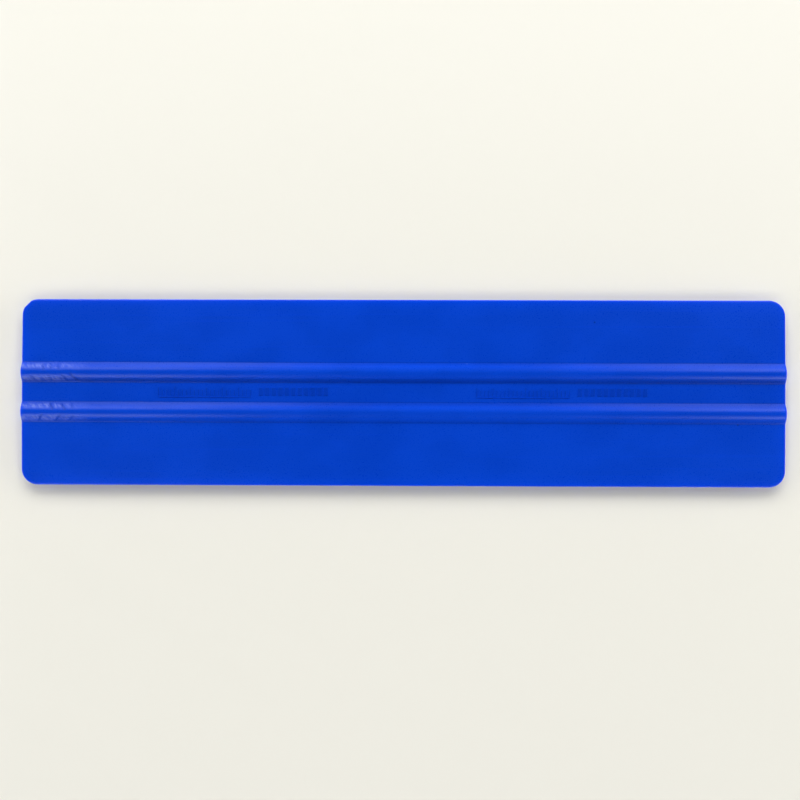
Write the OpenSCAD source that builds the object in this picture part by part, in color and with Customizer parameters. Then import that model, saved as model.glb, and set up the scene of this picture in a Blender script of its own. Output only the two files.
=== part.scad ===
// Flat plastic squeegee blade: one injection moulding, used with either long edge and either face.
// X runs along the working edges, Y across the blade, and Z up from the surface it lies on.
// The blade rests on the crests of its two lower ribs.

/* [Blade] */
// Length of the blade, along its two working edges
blade_length = 304.8; // [220:0.1:610]
// Width of the blade, from one working edge to the other
blade_width = 74.4; // [60:0.1:110]
// Thickness of the flat middle band, which carries the ribs
core_thickness = 2.4; // [2:0.1:4]
// Width of the flat middle band
core_width = 26; // [26:0.5:32]
// Thickness that the tapering wings have at the working edges
edge_thickness = 1.6; // [1.4:0.1:2]
// Radius that breaks each side of a working edge
edge_radius = 0.6; // [0.2:0.05:0.6]
// Radius of the blade's corners, seen from above
corner_radius = 6.35; // [3:0.05:12]
// Depth of the flat cut that trims one rounded corner
corner_cut_depth = 0.27; // [0.1:0.01:0.6]

/* [Ribs] */
// Width of a rib where it meets the plate
rib_width = 7.94; // [7:0.01:9]
// Distance between the centre lines of the two ribs on a face
rib_pitch = 15.875; // [15:0.005:16]
// Radius of a rib's rounded crown
rib_crown_radius = 4.8; // [3:0.1:5]
// Slope of a rib's straight flanks, in degrees from the plate
rib_flank_angle = 32; // [25:1:38]
// Radius of the hollow fillet along a rib's foot
rib_root_radius = 0.6; // [0.3:0.1:1.2]

/* [Raised marks] */
// Height of the raised marks above the groove between the upper ribs
mark_relief = 0.15; // [0.05:0.05:0.4]
// Distance between the centres of the two groups of marks
mark_group_pitch = 127; // [110:1:130]
// Number of fine bars in a group
bar_count = 24; // [4:1:24]
// Number of wide blocks in a group
block_count = 11; // [2:1:11]

/* [Hidden] */
$fn = 96;
blade_color = [0.03, 0.26, 0.77];
// How far a shape that only trims another one reaches past it
past = 1;

half_width = blade_width / 2;
core_top = core_thickness / 2;
core_edge = core_width / 2;

// A wing's slope, and the circle that rounds its outer edge: it touches the slope and the upright edge
wing_angle = atan2((core_thickness - edge_thickness) / 2, half_width - core_edge);
round_y = half_width - edge_radius;
round_z = edge_thickness / 2 + edge_radius * tan(wing_angle) - edge_radius / cos(wing_angle);
slope_touch = [round_y + edge_radius * sin(wing_angle), round_z + edge_radius * cos(wing_angle)];
edge_touch = [half_width, round_z];

// A rib's crown runs into its flanks at shoulder_y, shoulder_z above the plate
shoulder_y = rib_crown_radius * sin(rib_flank_angle);
shoulder_z = (rib_width / 2 - shoulder_y) * tan(rib_flank_angle);
rib_height = shoulder_z + rib_crown_radius * (1 - cos(rib_flank_angle));
mid_z = core_top + rib_height;
root_reach = rib_root_radius * tan(rib_flank_angle / 2);

// The arcs of the plan's rounded corners are centred here
corner_x = blade_length / 2 - corner_radius;
corner_y = half_width - corner_radius;

// One group of marks: a row of fine bars over a thin line, then a row of wide blocks
bar_pitch = 1.6;
bar_size = [0.5, 2.4];
tall_bar_size = [0.5, 3.4];
tall_bar_every = 4;
bar_foot_y = -1.4;
line_width = 0.3;
line_y = -2;
row_gap = 3;
block_pitch = 2.6;
block_size = [1.7, 3.2];
block_foot_y = -1.3;
mark_sink = 0.5;
bar_row_length = (bar_count - 1) * bar_pitch + bar_size.x;
block_row_length = (block_count - 1) * block_pitch + block_size.x;
group_length = bar_row_length + row_gap + block_row_length;

// Half of the plate's section, on the +Y side, with its arc tops left to edge_arcs()
function plate_side(side) = [
    [side * core_edge, core_top],
    [side * slope_touch.x, slope_touch.y],
    [side * edge_touch.x, edge_touch.y],
    [side * edge_touch.x, -edge_touch.y],
    [side * slope_touch.x, -slope_touch.y],
    [side * core_edge, -core_top]
];

function reversed(list) = [for (i = [len(list) - 1 : -1 : 0]) list[i]];

// Rounds the four long edges of the plate's section
module edge_arcs() {
    for (side = [-1, 1], face = [-1, 1])
        scale([side, face])
            intersection() {
                translate([round_y, round_z]) circle(r = edge_radius);
                polygon([slope_touch, [half_width + past, slope_touch.y + past], edge_touch]);
            }
}

// A rib on each face, one above the other, centred on the plate's middle plane
module rib_pair_section() {
    shoulder_top = core_top + shoulder_z;
    polygon([
        [-rib_width / 2, core_top], [-shoulder_y, shoulder_top],
        [shoulder_y, shoulder_top], [rib_width / 2, core_top],
        [rib_width / 2, -core_top], [shoulder_y, -shoulder_top],
        [-shoulder_y, -shoulder_top], [-rib_width / 2, -core_top]
    ]);
    for (face = [0, 1])
        mirror([0, face])
            intersection() {
                translate([0, mid_z - rib_crown_radius]) circle(r = rib_crown_radius);
                translate([-rib_width / 2, shoulder_top]) square([rib_width, rib_crown_radius]);
            }
}

// The hollow fillets along both feet of both ribs of a pair
module root_fillets() {
    foot = [rib_width / 2, core_top];
    on_flank = foot + root_reach * [-cos(rib_flank_angle), sin(rib_flank_angle)];
    on_plate = foot + [root_reach, 0];
    for (side = [-1, 1], face = [-1, 1])
        scale([side, face])
            difference() {
                polygon([foot, on_plate, on_flank]);
                translate(on_plate + [0, rib_root_radius]) circle(r = rib_root_radius);
            }
}

// The blade's section across its length, with X as the blade's Y and Y as its Z
module section() {
    polygon(concat(plate_side(1), reversed(plate_side(-1))));
    edge_arcs();
    for (side = [-1, 1])
        translate([side * rib_pitch / 2, 0]) {
            rib_pair_section();
            root_fillets();
        }
}

// The blade seen from above: rounded corners, and one of them trimmed by a flat cut
module plan() {
    difference() {
        union() {
            square([blade_length - 2 * corner_radius, blade_width], center = true);
            square([blade_length, blade_width - 2 * corner_radius], center = true);
            for (side = [-1, 1], end = [-1, 1])
                translate([end * corner_x, side * corner_y]) circle(r = corner_radius);
        }
        translate([-corner_x, corner_y])
            rotate(135)
                translate([corner_radius - corner_cut_depth, -corner_radius])
                    square([corner_radius, 2 * corner_radius]);
    }
}

// One raised mark, with its foot sunk into the plate
module mark(x, y, size) {
    translate([x, y, core_top - mark_sink])
        cube([size.x, size.y, mark_sink + mark_relief]);
}

// Fine bars with every fourth one taller, a thin line under them, and wide blocks after them
module mark_group() {
    start = -group_length / 2;
    for (i = [0 : bar_count - 1])
        mark(start + i * bar_pitch, bar_foot_y, i % tall_bar_every == 0 ? tall_bar_size : bar_size);
    mark(start, line_y - line_width / 2, [bar_row_length, line_width]);
    for (i = [0 : block_count - 1])
        mark(start + bar_row_length + row_gap + i * block_pitch, block_foot_y, block_size);
}

module blade() {
    color(blade_color)
        translate([0, 0, mid_z]) {
            intersection() {
                rotate([90, 0, 90])
                    linear_extrude(height = blade_length + 2 * past, center = true) section();
                linear_extrude(height = 2 * (mid_z + past), center = true) plan();
            }
            for (end = [-1, 1])
                translate([end * mark_group_pitch / 2, 0, 0]) mark_group();
        }
}

blade();
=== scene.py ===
"""Looks of the plastic squeegee blade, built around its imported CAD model.

The blade is one watertight mesh in the CAD solid's place: two height fields over one plan,
joined by an upright rim. Lengths are in millimetres until a mesh, a material, a lamp or the camera is made.
"""

import math

import bpy
import numpy as np
from mathutils import Matrix, Vector


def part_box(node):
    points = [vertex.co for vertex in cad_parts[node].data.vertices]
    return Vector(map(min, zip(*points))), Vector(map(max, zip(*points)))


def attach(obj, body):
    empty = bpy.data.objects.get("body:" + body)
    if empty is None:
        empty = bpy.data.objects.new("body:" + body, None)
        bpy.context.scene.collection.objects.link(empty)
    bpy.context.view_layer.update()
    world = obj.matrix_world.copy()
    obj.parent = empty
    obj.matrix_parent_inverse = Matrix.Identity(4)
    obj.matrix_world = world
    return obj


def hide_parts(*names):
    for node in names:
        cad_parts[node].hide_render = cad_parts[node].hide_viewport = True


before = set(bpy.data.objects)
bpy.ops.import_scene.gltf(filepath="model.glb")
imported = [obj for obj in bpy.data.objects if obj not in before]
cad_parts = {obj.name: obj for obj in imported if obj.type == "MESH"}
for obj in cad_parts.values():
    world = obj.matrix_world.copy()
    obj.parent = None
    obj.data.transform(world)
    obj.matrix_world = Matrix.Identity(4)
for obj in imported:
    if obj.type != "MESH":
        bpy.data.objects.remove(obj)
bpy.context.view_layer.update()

MM = 0.001

# ---------------------------------------------------------------- sizes

box_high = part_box("blade")[1] / MM
HALF_LENGTH = box_high.x
HALF_WIDTH = box_high.y
MIDDLE_Z = box_high.z / 2

# The plate: a flat middle band, and wings that taper to the working edges
CORE_HALF = 1.2
CORE_EDGE = 13.0
TIP_HALF = 0.8
EASE_WIDTH = 4.5
EASE_DEPTH = 0.06

# The rim: rounded on both sides all the way round, with its corners rounded in plan and one of them trimmed.
# Corners are counted anticlockwise, from the one at +X and -Y.
RIM_RADIUS = 0.6
RIM_STEPS = 6
CORNER_RADIUS = 6.35
CORNER_CUT = 0.27
TRIMMED_CORNER = 2
CORNER_STEPS = 12
# Rings of points further in than the rounded rim, by their distance from the outline
INNER_INSETS = [0.9, 1.4, 2.0, 2.8, 3.6, 4.6, 5.4]

# The ribs: a round crown, straight flanks and a hollow fillet along each foot
RIB_OFFSET = 7.9375
RIB_HALF_WIDTH = 3.97
RIB_RISE = MIDDLE_Z - CORE_HALF
CROWN_RADIUS = 4.8
FLANK_ANGLE = math.radians(32)
SHOULDER = CROWN_RADIUS * math.sin(FLANK_ANGLE)
ROOT_RADIUS = 0.6
ROOT_REACH = ROOT_RADIUS * math.tan(FLANK_ANGLE / 2)
FILLET_END = RIB_HALF_WIDTH + ROOT_REACH
# A rib's crest is rounded over at its ends, by this much over this length
RIB_END_WEAR = 0.25
RIB_END_LENGTH = 1.5

# The grid: how many lines a curve takes, where a flank's own lines are, and the widest gaps between lines
CROWN_LINES = 6
FILLET_LINES = 4
FLANK_LINES = [2.95, 3.4]
WIDEST_COLUMN = 4.0
WIDEST_NICKED_COLUMN = 0.5
WIDEST_ROW = 2.3
ROUNDING_SLACK = 1e-6
SHARP_EDGE_ANGLE = math.radians(35)

# The raised marks in the upper groove: two groups, each of fine bars over a line and then wide blocks
MARK_RELIEF = 0.15
MARK_DRAFT = 0.08
GROUP_OFFSET = 63.5
BAR_COUNT = 24
BAR_PITCH = 1.6
BAR_WIDTH = 0.5
BAR_FOOT = -1.4
BAR_HEIGHT = 2.4
TALL_BAR_HEIGHT = 3.4
TALL_BAR_EVERY = 4
LINE_Y = -2.0
LINE_WIDTH = 0.3
ROW_GAP = 3.0
BLOCK_COUNT = 11
BLOCK_PITCH = 2.6
BLOCK_WIDTH = 1.7
BLOCK_FOOT = -1.3
BLOCK_HEIGHT = 3.2

# The nicked stretch at the left ends of the upper ribs
NICKED_FROM = -HALF_LENGTH
NICKED_TO = -124.0
NICK_WIDTH = 0.38
# The scuffs, whitened wear with a painted highlight in it, run along both flanks of a rib, this far from its
# middle.
# They fade over this share of the stretch.
SCUFF_AND_HIGHLIGHT_AT = 2.5
SCUFF_AND_HIGHLIGHT_WIDTH = 0.95
SCUFF_AND_HIGHLIGHT_FADE = 0.5
# Each nick: x and y of its middle, length, direction in degrees from +X, depth
NICKS = [
    (-134.6, 5.6, 3.0, -48, 0.16),
    (-130.8, 5.8, 3.6, -46, 0.20),
    (-140.6, 5.6, 2.0, -60, 0.10),
    (-143.2, 9.9, 1.8, -70, 0.12),
    (-140.4, 10.2, 1.8, -75, 0.10),
    (-137.2, 10.0, 1.6, -65, 0.10),
    (-140.0, -5.8, 2.4, -55, 0.18),
    (-135.2, -5.9, 2.8, -50, 0.17),
    (-131.6, -5.7, 1.8, -60, 0.09),
    (-144.3, -10.2, 2.6, 52, 0.15),
    (-137.4, -10.4, 2.8, 42, 0.14),
    (-131.8, -10.3, 2.2, 38, 0.10),
    (-147.4, 5.6, 1.8, -50, 0.12),
]

# Painted shade darkens the ribs' feet, the marks and the nicks, and less of it goes on under the blade.
# A nick also takes the scuffing and its painted highlight away. The last two values are per millimetre of a
# nick's depth.
FOOT_SHADE = 0.6
FOOT_FADE = 0.3
MARK_SHADE = 0.6
UNDERSIDE_SHADE = 0.4
NICK_SHADE = 5
NICK_SCUFF_AND_HIGHLIGHT_LOSS = 8

# Painted edge light: the edges are painted brighter, to about this far in
PAINTED_EDGE_LIGHT_WIDTH = 1.6

# Specks in the upper face: x, y, radius, colour
SPECK_STRENGTH = 0.8
SPECKS = [
    (76.6, 28.3, 0.30, (0.0, 0.018, 0.25, 1)),
    (133.3, -12.4, 0.26, (0.0, 0.020, 0.27, 1)),
    (25.8, 11.5, 0.18, (0.10, 0.22, 0.80, 1)),
]

# The plastic's patterns: how long their features are along each axis, turns in degrees, and relief
MOTTLE_SIZE = (22, 14, 14)
MOTTLE_BUMP = 0.02
FLOW_SIZE = (160, 1.6, 4)
FLOW_BUMP = 0.004
GRAIN_SIZE = (0.35, 0.35, 0.35)
GRAIN_BUMP = 0.003
RUBBING_SIZE = (2.6, 0.7, 3.0)
RUBBING_TURN = 50
SCRATCH_SIZE = (45, 0.16, 20)
SCRATCH_TURNS = (4, -9, 63)
SCRATCH_BUMP = 0.004

# How a pattern becomes a share: the values where it starts and is full, and the shares before and after
MOTTLE_RAMP = (0.35, 0.65, 0.15, 0.85)
FLOW_RAMP = (0.55, 0.75, 0.0, 0.5)
RUBBING_RAMP = (0.40, 0.60, 0.2, 1.0)
SCRATCH_RAMP = (0.745, 0.775, 0.0, 0.25)
FURROW_RAMP = (0.745, 0.775, 1.0, 0.0)
ROUGHNESS_RAMP = (0.3, 0.7, 0.27, 0.33)
SCUFF_AND_HIGHLIGHT_STRENGTH = 1.0
PAINTED_SHADE_STRENGTH = 0.70
PAINTED_EDGE_LIGHT_STRENGTH = 0.55

# The plastic's colours
DEEP = (0.0002, 0.048, 0.545, 1)
LIGHT = (0.0012, 0.057, 0.620, 1)
STREAK = (0.0010, 0.056, 0.640, 1)
# Painted shade, for the ribs' feet, the marks and the nicks
SHADE = (0.0000, 0.022, 0.290, 1)
# Painted light along the edges
PAINTED_EDGE_LIGHT = (0.0000, 0.060, 0.930, 1)
PALE = (0.0200, 0.085, 0.660, 1)
# Whitened scuffing with a painted highlight
RUBBED_AND_LIT = (0.1100, 0.170, 0.660, 1)

# The stage
FLOOR_HALF = 3000
FLOOR_COLOUR = (0.885, 0.87, 0.79, 1)
BACKDROP_COLOUR = (0.88, 0.87, 0.83, 1)

# The camera looks almost straight down from above the blade's middle. Its turns are in degrees.
CAMERA_PLACE = (2.40, -4.63, 340)
CAMERA_PITCH = -0.305
CAMERA_YAW = -0.545
CAMERA_ROLL = -0.189
CAMERA_LENS = 37.94
CAMERA_SENSOR = 36

# Each lamp: direction from the blade, distance, width, height, power in watts, whether it shows in the gloss
LAMPS = {
    "back_wall": ((0, 0.86, 0.51), 1500, 2600, 700, 23, False),
    "front_wall": ((0, -0.80, 0.60), 1500, 2200, 500, 5.0, False),
    "left_wall": ((-1, 0, 0.15), 1500, 2400, 460, 24, False),
    "right_wall": ((1, 0, 0.15), 1500, 2400, 460, 24, False),
    "back_strip": ((0, 0.999, 0.045), 1500, 1400, 110, 8.0, False),
    "front_strip": ((0, -0.999, 0.045), 1500, 1400, 110, 12.0, False),
    "back_left": ((-0.46, 0.57, 0.68), 1200, 500, 500, 1.2, True),
    "back_right": ((0.53, 0.53, 0.66), 1200, 500, 500, 1.3, True),
    "front_left": ((-0.47, -0.53, 0.70), 1200, 460, 460, 1.2, True),
    "front_right": ((0.57, -0.52, 0.64), 1200, 420, 420, 1.15, True),
    "far_left": ((-0.34, 0.86, 0.39), 1200, 400, 400, 0.6, True),
    "far_right": ((0.42, 0.82, 0.38), 1200, 400, 400, 0.5, True),
}


# ---------------------------------------------------------------- the blade's section

def plate_half(y):
    """Half the plate's thickness: even in the middle band, then tapering to the working edge."""
    into_wing = np.clip((np.abs(y) - CORE_EDGE) / (HALF_WIDTH - CORE_EDGE), 0, 1)
    return CORE_HALF + (TIP_HALF - CORE_HALF) * into_wing


def rib_height(y):
    """How high the nearer rib stands above the plate."""
    from_middle = np.abs(np.abs(y) - RIB_OFFSET)
    crown_half = np.minimum(from_middle, SHOULDER)
    crown = RIB_RISE - CROWN_RADIUS + np.sqrt(CROWN_RADIUS**2 - crown_half**2)
    flank = (RIB_HALF_WIDTH - from_middle) * math.tan(FLANK_ANGLE)
    into_fillet = np.clip(FILLET_END - from_middle, 0, ROOT_RADIUS)
    fillet = ROOT_RADIUS - np.sqrt(ROOT_RADIUS**2 - into_fillet**2)
    rise = np.where(from_middle < SHOULDER, crown, flank)
    return np.where(from_middle > RIB_HALF_WIDTH - ROOT_REACH * math.cos(FLANK_ANGLE), fillet, rise)


def rim_drop(inset):
    """How far the rounded rim and the easing beside it fall below the section, this far in."""
    into_rim = RIM_RADIUS - np.minimum(inset, RIM_RADIUS)
    into_ease = 1 - np.minimum(inset, EASE_WIDTH) / EASE_WIDTH
    return RIM_RADIUS - np.sqrt(RIM_RADIUS**2 - into_rim**2) + EASE_DEPTH * into_ease**2


def surface_half(x, y, inset):
    """Height of either face above the blade's middle plane, without marks or nicks."""
    to_end = np.clip((HALF_LENGTH - np.abs(x)) / RIB_END_LENGTH, 0, 1)
    rib = rib_height(y)
    worn = RIB_END_WEAR * (1 - to_end) ** 2 * rib / RIB_RISE
    return plate_half(y) + rib - worn - rim_drop(inset)


# ---------------------------------------------------------------- marks and nicks

def mark_boxes():
    """The raised marks of one group, as (x, y, width, height) from the group's left end."""
    bar_row = (BAR_COUNT - 1) * BAR_PITCH + BAR_WIDTH
    boxes = [(0, LINE_Y - LINE_WIDTH / 2, bar_row, LINE_WIDTH)]
    for i in range(BAR_COUNT):
        height = BAR_HEIGHT if i % TALL_BAR_EVERY else TALL_BAR_HEIGHT
        boxes.append((i * BAR_PITCH, BAR_FOOT, BAR_WIDTH, height))
    for i in range(BLOCK_COUNT):
        boxes.append((bar_row + ROW_GAP + i * BLOCK_PITCH, BLOCK_FOOT, BLOCK_WIDTH, BLOCK_HEIGHT))
    group_length = max(x + width for x, _, width, _ in boxes)
    return [(x - group_length / 2, y, width, height) for x, y, width, height in boxes]


MARKS = [(x + side * GROUP_OFFSET, y, w, h) for side in (-1, 1) for x, y, w, h in mark_boxes()]


def step_lines(starts_and_sizes):
    """Grid lines at the foot and the top of both sides of every mark, along one axis."""
    lines = set()
    for start, size in starts_and_sizes:
        for at in (start, start + MARK_DRAFT, start + size - MARK_DRAFT, start + size):
            lines.add(round(at, 4))
    return lines


def mark_height(x, y):
    """How high the marks stand at each point."""
    height = np.zeros_like(x)
    for left, foot, width, tall in MARKS:
        across = np.minimum(x - left, left + width - x)
        along = np.minimum(y - foot, foot + tall - y)
        height = np.maximum(height, np.clip(np.minimum(across, along) / MARK_DRAFT, 0, 1))
    return height * MARK_RELIEF


def nick_depth(x, y):
    """How deep the nicks cut at each point."""
    depth = np.zeros_like(x)
    for middle_x, middle_y, length, direction, deepest in NICKS:
        turn = math.radians(direction)
        along = (x - middle_x) * math.cos(turn) + (y - middle_y) * math.sin(turn)
        across = (y - middle_y) * math.cos(turn) - (x - middle_x) * math.sin(turn)
        past_end = np.maximum(np.abs(along) - length / 2, 0)
        depth = np.maximum(depth, deepest * np.exp(-(across**2 + past_end**2) / NICK_WIDTH**2))
    return depth


# ---------------------------------------------------------------- the plan's grid

def filled(lines, widest):
    """The lines in order, with even ones added where a gap is wider than this."""
    ordered = sorted(lines)
    made = ordered[:1]
    for start, end in zip(ordered, ordered[1:]):
        parts = max(1, math.ceil((end - start) / widest - ROUNDING_SLACK))
        made += [start + (end - start) * (i + 1) / parts for i in range(parts)]
    return made


def grid_columns():
    """Grid lines across the blade: close at the nicks and the marks, and wide elsewhere."""
    reach = HALF_LENGTH - CORNER_RADIUS
    nicked = filled([-reach, NICKED_TO], WIDEST_NICKED_COLUMN)
    marks = step_lines([(x, width) for x, _, width, _ in MARKS])
    return filled(set(nicked) | marks | {reach}, WIDEST_COLUMN)


def grid_rows():
    """Grid lines along the blade: they follow the ribs' profile and the marks' edges."""
    reach = HALF_WIDTH - CORNER_RADIUS
    lines = {-reach, reach, -CORE_EDGE, CORE_EDGE}
    lines |= step_lines([(y, height) for _, y, _, height in MARKS])
    crown = CROWN_RADIUS * np.sin(np.linspace(0, FLANK_ANGLE, CROWN_LINES))
    fillet = FILLET_END - ROOT_RADIUS * np.sin(np.linspace(0, FLANK_ANGLE, FILLET_LINES))
    for offset in [*crown, *FLANK_LINES, *fillet, FILLET_END + FOOT_FADE]:
        for rib in (-RIB_OFFSET, RIB_OFFSET):
            lines |= {rib - offset, rib + offset}
    return filled(lines, WIDEST_ROW)


def corner_fan(trimmed):
    """Angles between a corner's two sides, and how far the outline is there as a share of the radius."""
    chord_reach = 1 - CORNER_CUT / CORNER_RADIUS
    chord_half = math.acos(chord_reach)
    middle = math.pi / 4
    if not trimmed:
        return [(angle, 1.0) for angle in np.linspace(0, math.pi / 2, CORNER_STEPS + 1)[1:-1]]
    stops = [0, middle - chord_half, middle + chord_half, math.pi / 2]
    thirds = [np.linspace(a, b, CORNER_STEPS // 3 + 1)[1:] for a, b in zip(stops, stops[1:])]
    angles = np.concatenate(thirds)[:-1]
    return [(a, min(1.0, chord_reach / math.cos(a - middle))) for a in angles]


def outline_loop(columns, rows):
    """Once round the plan, anticlockwise: the inner grid's edge cell, the outward angle and the reach."""
    right, top = columns - 1, rows - 1
    sides = [
        [(i, 0) for i in range(columns)],
        [(right, j) for j in range(rows)],
        [(i, top) for i in reversed(range(columns))],
        [(0, j) for j in reversed(range(rows))],
    ]
    loop = []
    for turn, cells in enumerate(sides):
        outward = math.pi / 2 * (turn - 1)
        loop += [(cell, outward, 1.0) for cell in cells]
        fan = corner_fan(turn == TRIMMED_CORNER)
        loop += [(cells[-1], outward + angle, reach) for angle, reach in fan]
    return loop


def plan_grid():
    """The plan's points, their insets from the outline, its faces, and how many points go once round."""
    xs, ys = np.array(grid_columns()), np.array(grid_rows())
    loop = outline_loop(len(xs), len(ys))
    anchors = np.array([(xs[i], ys[j]) for (i, j), _, _ in loop])
    outward = np.array([(math.cos(a) * reach, math.sin(a) * reach) for _, a, reach in loop])
    rim_angles = np.linspace(0, math.pi / 2, RIM_STEPS + 1)
    insets = [*(RIM_RADIUS * (1 - np.cos(rim_angles))), *INNER_INSETS]
    rings = [anchors + outward * (CORNER_RADIUS - inset) for inset in insets]
    inner = np.stack(np.meshgrid(xs, ys), axis=-1).reshape(-1, 2)
    inner_inset = np.minimum(HALF_LENGTH - np.abs(inner[:, 0]), HALF_WIDTH - np.abs(inner[:, 1]))
    points = np.concatenate([*rings, inner])
    point_insets = np.concatenate([np.repeat(insets, len(loop)), inner_inset])

    around = len(loop)
    first_inner = around * len(insets)
    edge_ids = [first_inner + j * len(xs) + i for (i, j), _, _ in loop]
    ring_ids = [[ring * around + p for p in range(around)] for ring in range(len(insets))]
    ring_ids.append(edge_ids)
    faces = []
    for outer, within in zip(ring_ids, ring_ids[1:]):
        for p in range(around):
            q = (p + 1) % around
            face = [outer[p], outer[q], within[q], within[p]]
            faces.append(face[:3] if within[p] == within[q] else face)
    for j in range(len(ys) - 1):
        for i in range(len(xs) - 1):
            corner = first_inner + j * len(xs) + i
            faces.append([corner, corner + 1, corner + len(xs) + 1, corner + len(xs)])
    return points, point_insets, faces, around


# ---------------------------------------------------------------- the blade's mesh

def scuff_and_highlight_share(x, y):
    """How scuffed the blade is, with a painted highlight in the scuffs: the flanks of the ribs at the left
    ends, fading out towards the middle.
    """
    along = np.clip((NICKED_TO - x) / (NICKED_TO - NICKED_FROM) / SCUFF_AND_HIGHLIGHT_FADE, 0, 1)
    from_middle = np.abs(np.abs(y) - RIB_OFFSET)
    return along * np.exp(-(((from_middle - SCUFF_AND_HIGHLIGHT_AT) / SCUFF_AND_HIGHLIGHT_WIDTH) ** 2))


def painted_shade_share(x, y):
    """Where painted shade darkens the blade: along the ribs' feet, on the marks and in the nicks."""
    from_middle = np.abs(np.abs(y) - RIB_OFFSET)
    stops = [SHOULDER, RIB_HALF_WIDTH, FILLET_END, FILLET_END + FOOT_FADE]
    feet = np.interp(from_middle, stops, [0, FOOT_SHADE, FOOT_SHADE, 0])
    marks = mark_height(x, y) / MARK_RELIEF * MARK_SHADE
    return np.maximum.reduce([feet, marks, nick_depth(x, y) * NICK_SHADE])


def paint_values(mesh, x, y, insets):
    """Gives the mesh the values that its material reads, for the upper face and then the lower one."""
    on_top = np.repeat([1.0, 0.0], len(x))
    # Painted shade is weaker on the lower face
    shade_left = UNDERSIDE_SHADE + (1 - UNDERSIDE_SHADE) * on_top
    scuff_and_highlight = scuff_and_highlight_share(x, y) - nick_depth(x, y) * NICK_SCUFF_AND_HIGHLIGHT_LOSS
    # The first values are scuffing with a painted highlight, the second painted light along the edges, the
    # third painted shade
    surfaces = {
        "scuff_and_highlight": np.tile(scuff_and_highlight, 2) * on_top,
        "rim": np.tile(np.exp(-insets / PAINTED_EDGE_LIGHT_WIDTH), 2),
        "painted_shade": np.tile(painted_shade_share(x, y), 2) * shade_left,
    }
    for name, values in surfaces.items():
        attribute = mesh.attributes.new(name, "FLOAT", "POINT")
        attribute.data.foreach_set("value", values.astype(np.float32))


def make_blade():
    """The blade: the upper face's points and then the lower face's, with a wall between their outlines."""
    points, insets, faces, around = plan_grid()
    x, y = points[:, 0], points[:, 1]
    half = surface_half(x, y, insets)
    top_z = MIDDLE_Z + half + mark_height(x, y) - nick_depth(x, y)
    bottom_z = MIDDLE_Z - half
    count = len(points)
    vertices = np.concatenate([np.column_stack([x, y, top_z]), np.column_stack([x, y, bottom_z])])
    under = [[count + v for v in reversed(face)] for face in faces]
    wall = []
    for p in range(around):
        q = (p + 1) % around
        wall.append([count + p, count + q, q, p])
    mesh = bpy.data.meshes.new("blade_moulding")
    mesh.from_pydata((vertices * MM).tolist(), [], faces + under + wall)
    mesh.validate()
    mesh.shade_smooth()
    mesh.set_sharp_from_angle(angle=SHARP_EDGE_ANGLE)
    paint_values(mesh, x, y, insets)
    piece = bpy.data.objects.new("blade_moulding", mesh)
    bpy.context.scene.collection.objects.link(piece)
    return piece


# ---------------------------------------------------------------- materials

def node(tree, kind, inputs=None, **settings):
    """A new node with these settings, its inputs given as values or as the sockets that feed them."""
    made = tree.nodes.new(kind)
    for name, value in settings.items():
        setattr(made, name, value)
    for name, value in (inputs or {}).items():
        if isinstance(value, bpy.types.NodeSocket):
            tree.links.new(value, made.inputs[name])
        else:
            made.inputs[name].default_value = value
    return made


def mixed(tree, factor, first, second):
    """A colour this far from the first one to the second."""
    made = node(tree, "ShaderNodeMix", {"Factor": factor, "A": first, "B": second}, data_type="RGBA")
    return made.outputs["Result"]


def ramp(tree, value, start, end, low, high):
    """A smooth step of this value: low before the start, high after the end."""
    inputs = {"Value": value, "From Min": start, "From Max": end, "To Min": low, "To Max": high}
    return node(tree, "ShaderNodeMapRange", inputs, interpolation_type="SMOOTHSTEP").outputs["Result"]


def stretched_noise(tree, place, size, detail, turn=0.0):
    """Noise whose features are about this many millimetres long along each axis, and turned in degrees."""
    turned = node(tree, "ShaderNodeVectorRotate", {"Vector": place, "Angle": math.radians(turn)})
    scale = tuple(1 / (length * MM) for length in size)
    moved = node(tree, "ShaderNodeMapping", {"Vector": turned.outputs["Vector"], "Scale": scale})
    inputs = {"Vector": moved.outputs["Vector"], "Scale": 1.0, "Detail": detail}
    return node(tree, "ShaderNodeTexNoise", inputs).outputs["Fac"]


def multiplied(tree, first, second):
    made = node(tree, "ShaderNodeMath", operation="MULTIPLY")
    tree.links.new(first, made.inputs[0])
    tree.links.new(second, made.inputs[1])
    return made.outputs["Value"]


def painted_share(tree, name, strength):
    """A surface value that the mesh carries, from nothing up to this strength."""
    carried = node(tree, "ShaderNodeAttribute", attribute_name=name).outputs["Fac"]
    inputs = {"Value": carried, "To Max": strength}
    return node(tree, "ShaderNodeMapRange", inputs).outputs["Result"]


def bumped(tree, height, depth, below=None):
    """A normal with bumps of this depth in millimetres, over the bumps made before."""
    inputs = {"Height": height, "Strength": 1.0, "Distance": depth * MM}
    if below is not None:
        inputs["Normal"] = below
    return node(tree, "ShaderNodeBump", inputs).outputs["Normal"]


def speckled(tree, place, base):
    """The specks that show in the upper face, over the colour so far."""
    for x, y, radius, colour in SPECKS:
        middle = Vector((x, y, MIDDLE_Z + CORE_HALF)) * MM
        apart = node(tree, "ShaderNodeVectorMath", operation="DISTANCE")
        tree.links.new(place, apart.inputs[0])
        apart.inputs[1].default_value = middle
        spot = ramp(tree, apart.outputs["Value"], radius * MM, radius * MM * 2, SPECK_STRENGTH, 0.0)
        base = mixed(tree, spot, base, colour)
    return base


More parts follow.
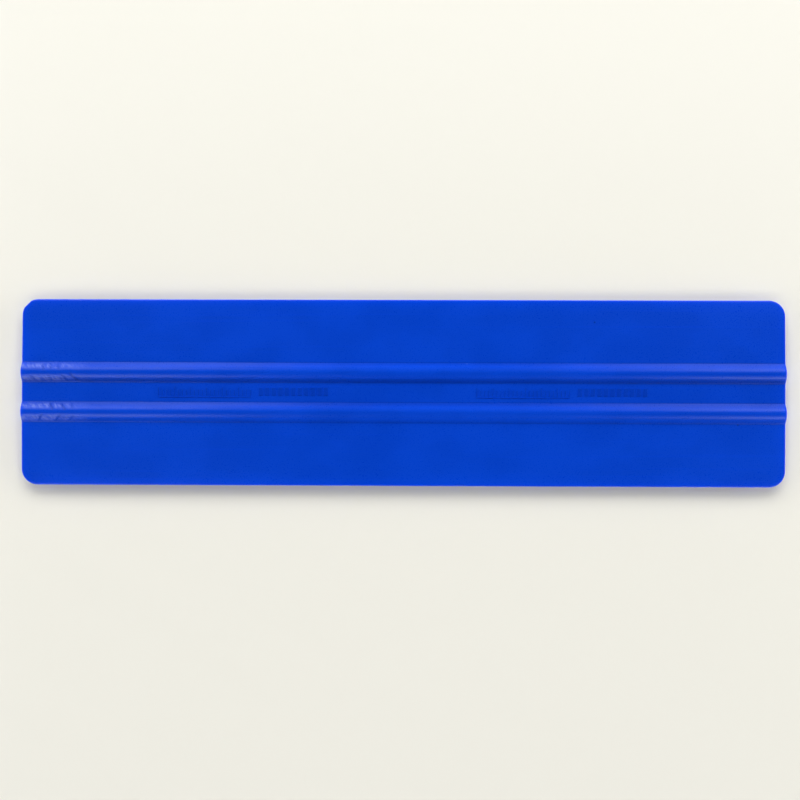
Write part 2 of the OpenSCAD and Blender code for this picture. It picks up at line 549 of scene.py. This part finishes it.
def plastic_colour(tree, place, mottle, flow, scratches):
    """The plastic's blue: cloudy and streaked, then darkened by painted shade, brightened by painted edge
    light, rubbed with a painted highlight, scratched and speckled.
    """
    rubbing = stretched_noise(tree, place, RUBBING_SIZE, detail=2.0, turn=RUBBING_TURN)
    patches = ramp(tree, rubbing, *RUBBING_RAMP)
    scuffed_and_lit = multiplied(tree, painted_share(tree, "scuff_and_highlight", SCUFF_AND_HIGHLIGHT_STRENGTH), patches)
    base = mixed(tree, ramp(tree, mottle, *MOTTLE_RAMP), DEEP, LIGHT)
    base = mixed(tree, ramp(tree, flow, *FLOW_RAMP), base, STREAK)
    # Painted shade at the ribs' feet, on the marks and in the nicks
    base = mixed(tree, painted_share(tree, "painted_shade", PAINTED_SHADE_STRENGTH), base, SHADE)
    # Painted light along the edges
    base = mixed(tree, painted_share(tree, "rim", PAINTED_EDGE_LIGHT_STRENGTH), base, PAINTED_EDGE_LIGHT)
    # Whitened scuffs with a painted highlight on the rib flanks at the left ends
    base = mixed(tree, scuffed_and_lit, base, RUBBED_AND_LIT)
    for scratch in scratches:
        base = mixed(tree, ramp(tree, scratch, *SCRATCH_RAMP), base, PALE)
    return speckled(tree, place, base)


def plastic_relief(tree, mottle, flow, grain, scratches):
    """The plastic's fine relief, from broad waves to hairline scratches."""
    normal = bumped(tree, mottle, MOTTLE_BUMP)
    normal = bumped(tree, flow, FLOW_BUMP, normal)
    normal = bumped(tree, grain, GRAIN_BUMP, normal)
    for scratch in scratches:
        normal = bumped(tree, ramp(tree, scratch, *FURROW_RAMP), SCRATCH_BUMP, normal)
    return normal


def blade_plastic():
    """Satin blue plastic, coloured through, with faint flow lines and a fine moulded grain."""
    material = bpy.data.materials.new("blade_plastic")
    material.use_nodes = True
    tree = material.node_tree
    shader = tree.nodes["Principled BSDF"]
    place = node(tree, "ShaderNodeTexCoord").outputs["Object"]
    mottle = stretched_noise(tree, place, MOTTLE_SIZE, detail=3.0)
    flow = stretched_noise(tree, place, FLOW_SIZE, detail=2.0)
    grain = stretched_noise(tree, place, GRAIN_SIZE, detail=2.0)
    scratches = [stretched_noise(tree, place, SCRATCH_SIZE, 1.0, turn) for turn in SCRATCH_TURNS]
    colour = plastic_colour(tree, place, mottle, flow, scratches)
    tree.links.new(colour, shader.inputs["Base Color"])
    tree.links.new(ramp(tree, grain, *ROUGHNESS_RAMP), shader.inputs["Roughness"])
    tree.links.new(plastic_relief(tree, mottle, flow, grain, scratches), shader.inputs["Normal"])
    shader.inputs["Specular IOR Level"].default_value = 0.6
    shader.inputs["Specular Tint"].default_value = (0.85, 0.95, 1, 1)
    return material


def floor_paint():
    material = bpy.data.materials.new("floor_paint")
    material.use_nodes = True
    shader = material.node_tree.nodes["Principled BSDF"]
    shader.inputs["Base Color"].default_value = FLOOR_COLOUR
    shader.inputs["Roughness"].default_value = 0.8
    shader.inputs["Specular IOR Level"].default_value = 0.1
    return material


# ---------------------------------------------------------------- stage, light and camera

def make_floor():
    corners = [(-1, -1), (1, -1), (1, 1), (-1, 1)]
    mesh = bpy.data.meshes.new("floor")
    mesh.from_pydata([(x * FLOOR_HALF * MM, y * FLOOR_HALF * MM, 0) for x, y in corners], [], [(0, 1, 2, 3)])
    mesh.materials.append(floor_paint())
    floor = bpy.data.objects.new("floor", mesh)
    bpy.context.scene.collection.objects.link(floor)


def make_lamp(name, direction, distance, width, height, power, in_gloss):
    """A soft oval lamp that faces the blade.

    A lamp left out of the gloss isn't sampled by reflected rays either: they would let some gloss back in.
    """
    lamp = bpy.data.lights.new(name, "AREA")
    lamp.shape = "ELLIPSE"
    lamp.size = width * MM
    lamp.size_y = height * MM
    lamp.energy = power
    away = Vector(direction).normalized()
    holder = bpy.data.objects.new(name, lamp)
    holder.location = away * distance * MM
    holder.rotation_euler = away.to_track_quat("Z", "Y").to_euler()
    holder.visible_glossy = in_gloss
    lamp.cycles.use_multiple_importance_sampling = in_gloss
    bpy.context.scene.collection.objects.link(holder)


def make_world():
    """A plain pale backdrop that only the camera sees: all the light comes from the lamps."""
    world = bpy.data.worlds.new("studio")
    bpy.context.scene.world = world
    world.use_nodes = True
    world.node_tree.nodes["Background"].inputs["Color"].default_value = BACKDROP_COLOUR
    world.cycles_visibility.diffuse = False
    world.cycles_visibility.glossy = False


def make_camera():
    """The camera. Its turns take the world's directions into the view, so it turns the other way itself."""
    data = bpy.data.cameras.new("camera")
    data.lens = CAMERA_LENS
    data.sensor_width = CAMERA_SENSOR
    data.clip_start = 0.01
    data.clip_end = 20
    camera = bpy.data.objects.new("camera", data)
    turns = [(CAMERA_YAW, "Y"), (CAMERA_PITCH, "X"), (CAMERA_ROLL, "Z")]
    into_view = Matrix.Identity(3)
    for angle, axis in turns:
        into_view = into_view @ Matrix.Rotation(math.radians(angle), 3, axis)
    camera.matrix_world = Matrix.LocRotScale(Vector(CAMERA_PLACE) * MM, into_view.transposed(), None)
    bpy.context.scene.collection.objects.link(camera)
    bpy.context.scene.camera = camera


blade = make_blade()
blade.data.materials.append(blade_plastic())
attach(blade, "root")
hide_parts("blade")

make_floor()
make_world()
for lamp_name, settings in LAMPS.items():
    make_lamp(lamp_name, *settings)
make_camera()
bpy.context.scene.view_settings.view_transform = "Standard"
